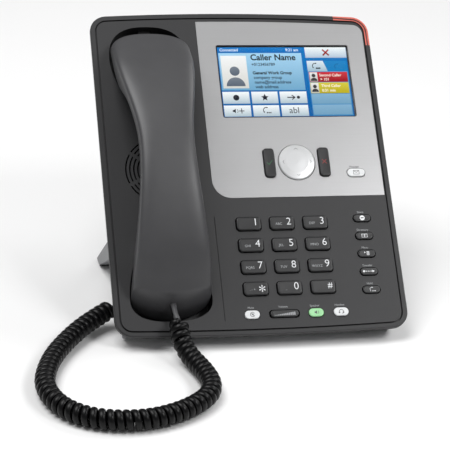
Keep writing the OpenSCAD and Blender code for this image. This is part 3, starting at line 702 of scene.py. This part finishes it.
def loudspeaker(s=1.0):
    cone = [(-1.3 * s, -0.5 * s), (-0.6 * s, -0.5 * s), (0.3 * s, -1.3 * s), (0.3 * s, 1.3 * s),
            (-0.6 * s, 0.5 * s), (-1.3 * s, 0.5 * s)]
    return [cone] + stroke(arc(0.2 * s, 0, 1.3 * s, -45, 45, 6), 0.25 * s)


def headset():
    return (stroke(arc(0, -0.2, 1.5, 10, 170), 0.3) + [disc(-1.4, -0.7, 0.55), disc(1.4, -0.7, 0.55)]
            + stroke([(1.3, -1.0), (0.3, -1.6)], 0.25))


def handset_mark(s=1.0):
    curve = arc(1.0 * s, 0, 2.2 * s, 75, 215)
    return (stroke(curve, 0.55 * s) + [disc(curve[0][0], curve[0][1], 0.5 * s)]
            + [disc(curve[-1][0], curve[-1][1], 0.5 * s)])


def held_call():
    shrunk = [[(x * 0.66 - 0.4, y * 0.66 - 0.1) for x, y in line] for line in handset_mark()]
    return shrunk + [disc(0.6 + 0.9 * k, -1.2, 0.32) for k in range(3)]


def minus_disc():
    return [disc(0, 0, 1.8, 24)]


def book():
    return (stroke([(-2, -1.2), (-2, 1.1), (-0.1, 1.1), (-0.1, -1.2), (-2, -1.2)], 0.26)
            + stroke([(0.1, -1.2), (0.1, 1.1), (2, 1.1), (2, -1.2), (0.1, -1.2)], 0.26)
            + stroke([(-1.4, 0.3), (-0.7, 0.3)], 0.24) + stroke([(0.7, 0.3), (1.4, 0.3)], 0.24))


def menu_lines():
    lines = [rectangle(-0.2, y - 0.18, 1.8, y + 0.18) for y in (-1.1, -0.35, 0.4, 1.15)]
    return lines + [[(-1.8, 0.1), (-0.8, 0.7), (-1.8, 1.3)]]


def transfer_arrow():
    dashes = [rectangle(x, -0.22, x + 1.1, 0.22) for x in (-2.6, -0.9, 0.8)]
    return [disc(-3.8, 0, 0.75)] + dashes + [[(2.2, -0.8), (3.9, 0), (2.2, 0.8)]]


def volume_ramp():
    return [rectangle(x, -1.35, x + 0.85, -1.35 + 0.25 + 0.19 * k)
            for k, x in enumerate(-7.3 + 1.25 * k for k in range(12))]


def letters(text, size, align="CENTER", thin=0.0):
    """Plain lettering as a thin shape, size in millimetres; thin narrows every line."""
    curve = bpy.data.curves.new("letters", "FONT")
    curve.body = text
    curve.size = size
    curve.extrude = 0.03
    curve.offset = -thin
    curve.resolution_u = 4
    curve.align_x = align
    curve.align_y = "CENTER"
    holder = bpy.data.objects.new("letters", curve)
    mesh = bpy.data.meshes.new_from_object(holder)
    shape = [v.co.copy() for v in mesh.vertices], [list(p.vertices) for p in mesh.polygons]
    bpy.data.objects.remove(holder)
    bpy.data.meshes.remove(mesh)
    bpy.data.curves.remove(curve)
    return shape


def label(node, text, x, y, z=0.03, size=2.1, ink=None):
    """A short general word over a key, printed on the cover."""
    shape = moved(letters(text, size), x, y, z)
    new_piece(node + "_label", shape, ink or print_grey, "base", smooth=False)


DIAL_X = [-3.6, 19.9, 43.5]
DIAL_Y = [78.8, 63.3, 47.7, 32.2]
DIAL_TEXT = [
    ("key_1", "1", ""), ("key_2", "2", "ABC"), ("key_3", "3", "DEF"),
    ("key_4", "4", "GHI"), ("key_5", "5", "JKL"), ("key_6", "6", "MNO"),
    ("key_7", "7", "PQRS"), ("key_8", "8", "TUV"), ("key_9", "9", "WXYZ"),
    ("key_star", "*", ". - +"), ("key_0", "0", "_"), ("key_hash", "#", ""),
]
DIAL_SIZE = (17.3, 9.5)
DIAL_TOP = 1.8
DISH = 0.12
PRINT_Z = DIAL_TOP - 0.03
for i, (node, digit, small) in enumerate(DIAL_TEXT):
    x, y = DIAL_X[i % 3], DIAL_Y[i // 3]
    body = node + "_cap"
    shape = moved(key_shape(DIAL_SIZE, 2.4, DIAL_TOP, 0.9, DISH), x, y)
    new_piece(node + "_top", shape, key_plastic, body, replaces=(node,))
    size, lift, thin = {"*": (11, -2.4, 0), "#": (5.8, 0.6, 0)}.get(digit, (7.4, 0.7, 0.06))
    shape = moved(letters(digit, size, "RIGHT", thin), x + 6.4, y + lift, PRINT_Z)
    new_piece(node + "_digit", shape, print_white, body, smooth=False)
    if small:
        shape = moved(letters(small, 2.5), x - 2.6, y - 0.8, PRINT_Z)
        new_piece(node + "_letters", shape, print_grey, body, smooth=False)

FUNCTION_X = 77.5
FUNCTION_Y = [81.2, 68.2, 55.2, 42.2, 29.2]
FUNCTION_KEYS = [
    ("key_dnd", minus_disc, "Silent"), ("key_directory", book, "Directory"),
    ("key_menu", menu_lines, "Menu"), ("key_transfer", transfer_arrow, "Transfer"),
    ("key_hold", held_call, "Hold"),
]
PILL_TOP = 1.1


def pill(node, x, y, size, finish, marks, mark_finish, edge=0.6, top=PILL_TOP):
    shape = moved(key_shape(size, min(size) / 2, top, edge, 0.1), x, y)
    body = "volume_rocker" if node == "key_volume" else node + "_cap"
    new_piece(node + "_top", shape, finish, body, replaces=(node,))
    if marks:
        new_piece(node + "_mark", moved(plate(marks, top - 0.1), x, y), mark_finish, body,
                  smooth=False)


for (node, mark, word), y in zip(FUNCTION_KEYS, FUNCTION_Y):
    pill(node, FUNCTION_X, y, (12.4, 5.2), key_plastic, mark(), print_white)
    label(node, word, FUNCTION_X - 0.6, y + 4.5)
new_piece("key_dnd_bar", moved(plate([rectangle(-1.1, -0.3, 1.1, 0.3)], PILL_TOP), FUNCTION_X,
          FUNCTION_Y[0]), key_plastic, "key_dnd_cap", smooth=False)

BOTTOM_Y = 14.2
BOTTOM_KEYS = [
    ("key_mute", -8, (10.4, 5.8), lit_white, "key_light", microphone(), print_dark, "Mute"),
    ("key_volume", 14.4, (19.8, 5), rocker_plastic, "key_dark", volume_ramp(), print_grey,
     "Volume"),
    ("key_speaker", 36.5, (10.4, 5.8), lit_green, "key_green", loudspeaker(), print_dark,
     "Speaker"),
    ("key_headset", 54, (10.4, 5.8), lit_white, "key_light", headset(), print_dark, "Headset"),
]
for node, x, size, finish, slot, marks, mark_finish, word in BOTTOM_KEYS:
    pill(node, x, BOTTOM_Y, size, finish, marks, mark_finish)
    label(node, word, x - 0.5, BOTTOM_Y + 5)
pill("key_message", 77.7, 115.2, (12.7, 5.9), lit_white, envelope(2, 1.4), print_dark)
label("key_message", "Message", 76.8, 119.8, 0.14, 2.1, print_dark)

for node, x, y, marks, ink in [
    ("key_ok", 16.1, 123.4, check_mark(1.9), print_green),
    ("key_cancel", 55.4, 123.6, cross_mark(1.4, 0.4), print_red),
]:
    shape = moved(key_shape((7.5, 21.3), 2.0, DIAL_TOP, 0.7, 0.2), x, y)
    new_piece(node + "_top", shape, key_plastic, node + "_cap", replaces=(node,))
    new_piece(node + "_mark", moved(plate(marks, DIAL_TOP - 0.2, 0.1), x, y), ink,
              node + "_cap", smooth=False)

# Faint chevrons near the navigation disc's rim
NAV = (35.8, 123.7)
chevrons = []
for k in range(4):
    a = math.radians(90 * k)
    tip, back = 10.2, 9.3
    line = [(back, -1.3), (tip, 0), (back, 1.3)]
    turned = [(x * math.cos(a) - y * math.sin(a), x * math.sin(a) + y * math.cos(a)) for x, y in line]
    chevrons += stroke(turned, 0.32)
new_piece("nav_chevrons", moved(plate(chevrons, 1.44, 0.1), *NAV), print_chevron, "nav_top",
          smooth=False)

# ---- display --------------------------------------------------------------------------
WINDOW_X, WINDOW_Y = 35.65, 186
WINDOW_W, WINDOW_H = 95.0, 53.9
GLASS_W, GLASS_H = 97.3, 56
PANEL_Z = -1.8
LAYER = 0.05


def screen_piece(name, areas, level, low, high, strength=1.0):
    """Lit areas of the display. Each is (left, top, right, bottom) in shares of the panel,
    or a list of such points, with its colour running from low at the bottom to high."""
    material = glowing(name + "_light", srgb(*low), srgb(*high), strength)
    points, faces, shares = [], [], []
    for area in areas:
        outline = area
        if not isinstance(area[0], (tuple, list)):
            left, top, right, bottom = area
            outline = [(left, bottom), (right, bottom), (right, top), (left, top)]
        lows = max(v for u, v in outline)
        highs = min(v for u, v in outline)
        start = len(points)
        for u, v in outline:
            x = WINDOW_X + (u - 0.5) * WINDOW_W
            y = WINDOW_Y + (0.5 - v) * WINDOW_H
            points.append(Vector((x, y, PANEL_Z + LAYER * level)))
            shares.append((lows - v) / max(lows - highs, 1e-6))
        faces.append(list(range(start, len(points))))
    piece = new_piece(name, (points, faces), material, "base", smooth=False)
    layer = piece.data.uv_layers.new(name="UVMap")
    for loop in piece.data.loops:
        layer.data[loop.index].uv = (0.5, shares[loop.vertex_index])
    return piece


def screen_marks(outlines, u, v, scale=1.0):
    """Marks drawn in millimetres round a point of the panel, as lists of panel points."""
    return [
        [(u + x * scale / WINDOW_W, v - y * scale / WINDOW_H) for x, y in outline]
        for outline in outlines
    ]


def screen_words(name, lines, size, ink, level=2, thin=0.0):
    """General words on the display: each line is (text, u, v) from its left end."""
    flat = glowing(name + "_light", srgb(*ink), srgb(*ink), 1.0)
    shapes = []
    for text, u, v in lines:
        x = WINDOW_X + (u - 0.5) * WINDOW_W
        y = WINDOW_Y + (0.5 - v) * WINDOW_H
        shapes.append(moved(letters(text, size, "LEFT", thin), x, y, PANEL_Z + LAYER * level))
    new_piece(name, joined(shapes), flat, "base", smooth=False)


BUTTON_COLUMNS = [(0.006, 0.208), (0.225, 0.425), (0.441, 0.648)]
BUTTON_ROWS = [(0.639, 0.808), (0.833, 0.99)]
buttons = [(l, t, r, b) for t, b in BUTTON_ROWS for l, r in BUTTON_COLUMNS]
star = []
for k in range(10):
    reach = 2.9 if k % 2 == 0 else 1.3
    a = math.pi / 2 + math.pi * k / 5
    star.append((reach * math.cos(a), reach * math.sin(a)))
star_points = [[star[k - 1], star[k], star[(k + 1) % 10]] for k in range(0, 10, 2)]
star_middle = [star[k] for k in range(1, 10, 2)]
call_dots = [disc(0.6 + 1.2 * k, -1.5, 0.5) for k in range(3)]
middles = [((l + r) / 2, (t + b) / 2) for l, t, r, b in buttons]
icon_parts = [
    [disc(0, 0, 2.2)],
    star_points + [star_middle],
    stroke([(-4.2, 0), (0.8, 0)], 0.75) + stroke([(-0.9, 1.5), (1, 0), (-0.9, -1.5)], 0.7)
    + [disc(3.6, 0, 1.15)],
    [[(x - 1.8, y) for x, y in line] for line in loudspeaker(1.35)]
    + stroke([(1.3, 0), (4.5, 0)], 0.6) + stroke([(2.9, 1.6), (2.9, -1.6)], 0.6),
    [[(x - 0.9, y + 0.3) for x, y in line] for line in handset_mark()] + call_dots,
]
icons = [part for (u, v), marks in zip(middles, icon_parts) for part in screen_marks(marks, u, v)]
screen_piece("screen_ground", [(0, 0, 1, 1)], 0, (0, 92, 164), (8, 118, 194))
screen_piece("screen_bar", [(0, 0, 0.416, 0.077), (0.42, 0, 0.655, 0.077)], 1, (10, 108, 186),
             (30, 124, 200))
screen_piece("screen_card", [(0.007, 0.083, 0.645, 0.618)], 1, (112, 168, 202), (168, 214, 242))
screen_words("screen_status", [("Connected", 0.018, 0.04), ("9:21 am", 0.525, 0.04)], 3,
             (226, 242, 252), thin=-0.05)
screen_words("screen_title", [("Caller Name", 0.248, 0.15)], 6.4, (2, 12, 24), thin=-0.15)
screen_words("screen_number", [("+0123456789", 0.25, 0.25)], 3.1, (18, 40, 60), thin=-0.05)
screen_words("screen_bold", [("General Work Group", 0.253, 0.372)], 3.2, (2, 8, 18), thin=-0.1)
screen_words("screen_text", [("company group", 0.257, 0.438), ("name@mail.address", 0.26, 0.505),
                             ("web address", 0.264, 0.572)], 3.3, (16, 38, 58),
             thin=-0.05)
screen_piece("screen_photo", [(0.0195, 0.122, 0.215, 0.59)], 2, (214, 214, 208), (246, 248, 248))
screen_piece("screen_buttons", buttons, 1, (176, 196, 206), (248, 252, 254))
screen_piece("screen_icons", icons, 2, (26, 30, 40), (26, 30, 40))
screen_words("screen_entry", [("abl", 0.499, 0.912)], 6.6, (50, 58, 68))
person = screen_marks([disc(0, 3.0, 3.6, 28), arc(0, -8.6, 6.8, 0, 180, 20)], 0.117, 0.4)
screen_piece("screen_person", person, 3, (84, 96, 112), (120, 130, 140))
screen_piece("screen_close", [(0.676, 0, 0.998, 0.153)], 1, (178, 198, 216), (244, 252, 254))
screen_piece("screen_cross", screen_marks(cross_mark(1.9, 1.1), 0.837, 0.077), 2,
             (140, 26, 26), (166, 34, 32))
screen_piece("screen_tab", [[(0.68, 0.35), (0.836, 0.35), (0.806, 0.198), (0.68, 0.198)]], 2,
             (160, 190, 206), (224, 236, 244))
screen_piece("screen_tab_back", [(0.815, 0.198, 0.992, 0.35)], 1, (14, 124, 190), (26, 132, 198))
screen_piece("screen_tab_call", screen_marks(
    [[(x * 0.85, y * 0.85) for x, y in line] for line in handset_mark()], 0.905, 0.28), 2,
    (10, 98, 160), (10, 98, 160))
tab_marks = screen_marks([[(x * 0.95 - 0.8, y * 0.95 + 0.3) for x, y in line]
                          for line in handset_mark()]
                         + [disc(0.9 + 1.15 * k, -1.4, 0.62) for k in range(3)], 0.742, 0.28)
screen_piece("screen_tab_marks", tab_marks, 3, (24, 34, 46), (24, 34, 46))
screen_piece("screen_list", [(0.68, 0.35, 0.992, 0.99)], 1, (66, 136, 186), (84, 154, 204))
screen_piece("screen_red", [(0.686, 0.36, 0.985, 0.505)], 2, (150, 8, 22), (208, 44, 56))
screen_piece("screen_yellow", [(0.686, 0.513, 0.985, 0.669)], 2, (186, 170, 12), (216, 204, 60))
screen_piece("screen_rows", [(0.686, 0.68, 0.985, 0.82), (0.686, 0.832, 0.985, 0.975)], 2,
             (112, 160, 190), (132, 176, 206))
screen_piece("screen_row_photos", [(0.69, 0.367, 0.75, 0.498), (0.69, 0.52, 0.75, 0.662)], 3,
             (196, 196, 190), (232, 234, 234))
small_people = [p for v in (0.435, 0.593) for p in screen_marks(
    [disc(0, 1.2, 1.4), arc(0, -3.0, 2.5, 0, 180)], 0.72, v)]
screen_piece("screen_row_people", small_people, 4, (46, 44, 46), (70, 66, 66))
screen_words("screen_row_text", [("Second Caller", 0.764, 0.408), ("> 101", 0.768, 0.468),
                                 ("Third Caller", 0.77, 0.562), ("0:31 min", 0.772, 0.628)],
             2.9, (252, 244, 232), 3, -0.04)

# The black border printed under the glass
BORDER = 1.15
BORDER_GAP = 0.3  # both sides together
BORDER_Z = -1.452
outer = rounded_ring((GLASS_W - BORDER_GAP, GLASS_H - BORDER_GAP), 1.5, 0)
inner = rounded_ring((GLASS_W - 2 * BORDER, GLASS_H - 2 * BORDER), 0.6, 0)
border = [[p + Vector((WINDOW_X, WINDOW_Y, BORDER_Z)) for p in ring] for ring in (inner, outer)]
new_piece("screen_border", loft(border, False, False), socket_plastic, "base", smooth=False)


# The call light's dark middle line, round the top right corner of the face: painted shade under the
# clear red pipe, whose middle looks dark while its edges catch the light
CORNER = (89.3, 224.3)
LINE_R = 10.1
painted_pipe_shade = [(76.6, CORNER[1] + LINE_R + 1.1)]
painted_pipe_shade += arc(*CORNER, LINE_R, 90, 0, 14)
painted_pipe_shade.append((CORNER[0] + LINE_R + 0.1, 214.4))
new_piece("painted_pipe_shade", plate(stroke(painted_pipe_shade, 1.0), -0.12, 0.06), lens_painted_shade, "base",
          smooth=False)

# ---- stage ----------------------------------------------------------------------------
FLOOR_WHITE = (0.84, 0.84, 0.84, 1)


def make_floor():
    mesh = bpy.data.meshes.new("floor")
    half = 6.0
    mesh.from_pydata([(-half, -half, 0), (half, -half, 0), (half, half, 0), (-half, half, 0)],
                     [], [(0, 1, 2, 3)])
    floor = bpy.data.objects.new("floor", mesh)
    bpy.context.scene.collection.objects.link(floor)
    material, shader = base_material("floor_paint", FLOOR_WHITE, 0.6)
    add_mottle(material, shader, FLOOR_WHITE, 0.01, add_noise(material, 3))
    mesh.materials.append(material)


def area_light(name, place, target, size, power):
    data = bpy.data.lights.new(name, "AREA")
    data.shape = "DISK"
    data.size = size
    data.energy = power
    light = bpy.data.objects.new(name, data)
    bpy.context.scene.collection.objects.link(light)
    light.location = place
    light.rotation_mode = "QUATERNION"
    light.rotation_quaternion = (Vector(target) - Vector(place)).to_track_quat("-Z", "Y")


def make_world(brightness):
    """Even white light from all round."""
    world = bpy.data.worlds.new("studio")
    world.use_nodes = True
    background = world.node_tree.nodes["Background"]
    background.inputs["Color"].default_value = (1, 1, 1, 1)
    background.inputs["Strength"].default_value = brightness
    bpy.context.scene.world = world


make_floor()
area_light("key_light", (0.75, -0.78, 1.18), (0, 0, 0.08), 0.5, 7.8)
area_light("left_light", (-0.7, -0.05, 1.75), (0, 0.1, 0), 1.4, 29)
area_light("right_light", (1.5, 0.6, 1.5), (0, 0.1, 0), 1.2, 14)
make_world(0.28)
bpy.context.scene.view_settings.view_transform = "Standard"
